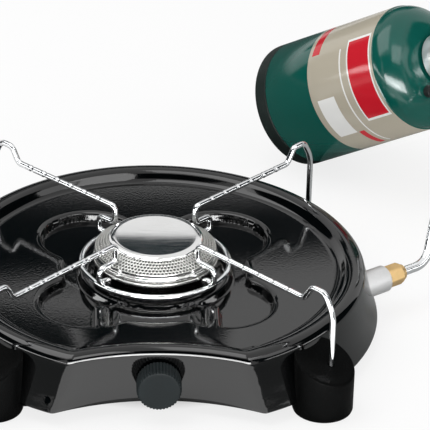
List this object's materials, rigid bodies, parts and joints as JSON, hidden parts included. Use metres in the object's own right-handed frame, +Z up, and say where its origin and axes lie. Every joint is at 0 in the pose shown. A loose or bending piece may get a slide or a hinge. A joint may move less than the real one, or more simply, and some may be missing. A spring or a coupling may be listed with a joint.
{
  "type": "propane camping stove",
  "caption": "Round enamelled camping stove with a ring burner, lift-off wire grate on corner feet, front knob, and a screw-on gas bottle lying behind on a regulator pipe.",
  "frame": {"origin": "on the burner's axis, at the height of the table", "axes": "+Z up, -Y to the front where the knob is, +X to the right where the gas pipe comes out"},
  "size_m": [0.4447, 0.4611, 0.1761],
  "materials": {
    "enamel": "gloss black enamel",
    "foot_plastic": "pebbled black moulding",
    "screw_steel": "bright zinc",
    "burner_metal": "satin, lightly brushed",
    "burner_screen": "perforated sheet",
    "tube_steel": "plated tube",
    "brass": "turned brass",
    "knob_plastic": "fluted black moulding",
    "sleeve_aluminium": "turned, satin",
    "pipe_chrome": "bright plated tube",
    "regulator_metal": "die-cast, satin",
    "cap_plastic": "black moulding",
    "seal_rubber": "matt black",
    "bottle_paint": "gloss green paint with a plain printed band",
    "base_ring_plastic": "black moulding",
    "valve_black": "black",
    "wire_chrome": "bright plated wire"
  },
  "bodies": {
    "stove": {"base_pan": "enamel", "foot_front_left": "foot_plastic", "foot_front_right": "foot_plastic", "foot_rear_left": "foot_plastic", "foot_rear_right": "foot_plastic", "foot_screws": "screw_steel", "burner_bowl": "burner_metal", "burner_ring": "burner_metal", "burner_band": "burner_screen", "burner_cap": "burner_metal", "burner_screws": "screw_steel", "burner_nuts": "screw_steel", "mixing_tube": "tube_steel", "air_shutter": "tube_steel", "gas_jet": "brass", "valve_body": "brass", "mount_nut": "screw_steel", "inlet_tube": "tube_steel", "inlet_sleeve": "sleeve_aluminium"},
    "knob": {"control_knob": "knob_plastic", "valve_stem": "brass"},
    "needle": {"valve_needle": "screw_steel"},
    "grate": {"grate_ring": "wire_chrome", "grate_arm_front_left": "wire_chrome", "grate_arm_front_right": "wire_chrome", "grate_arm_rear_left": "wire_chrome", "grate_arm_rear_right": "wire_chrome"},
    "supply": {"supply_pipe": "pipe_chrome", "pipe_ferrule": "brass", "regulator_body": "regulator_metal", "regulator_cap": "cap_plastic", "regulator_diaphragm": "seal_rubber", "regulator_spring": "screw_steel", "regulator_seal": "seal_rubber"},
    "nut": {"coupling_nut": "brass"},
    "bottle": {"cylinder_shell": "bottle_paint", "cylinder_base_ring": "base_ring_plastic", "cylinder_valve": "brass", "relief_valve": "valve_black"}
  },
  "joints": [
    {"name": "knob_turn", "type": "hinge", "parent": "stove", "child": "knob", "pos_m": [0, -0.1454, 0.0275], "axis": [0, -1, 0], "range_deg": [0, 450]},
    {"name": "needle_travel", "type": "slide", "parent": "stove", "child": "needle", "axis": [0, -1, 0], "range_m": [0, 0.0013]},
    {"name": "grate_lift", "type": "slide", "parent": "stove", "child": "grate", "axis": [0, 0, 1], "range_m": [0, 0.07]},
    {"name": "supply_pull", "type": "slide", "parent": "stove", "child": "supply", "axis": [0.8238, 0.5668, 0], "range_m": [0, 0.03]},
    {"name": "nut_turn", "type": "hinge", "parent": "supply", "child": "nut", "pos_m": [0.17712, 0.01887, 0.0275], "axis": [0.8238, 0.5668, 0], "continuous": true},
    {"name": "bottle_turn", "type": "hinge", "parent": "supply", "child": "bottle", "pos_m": [0.22623, 0.18522, 0.12667], "axis": [-0.6508, 0.548, -0.5255], "range_deg": [0, 1440]}
  ],
  "couplings": [
    {"joint": "needle_travel", "follows": "knob_turn", "m_per_rad": 0.00015915}
  ]
}
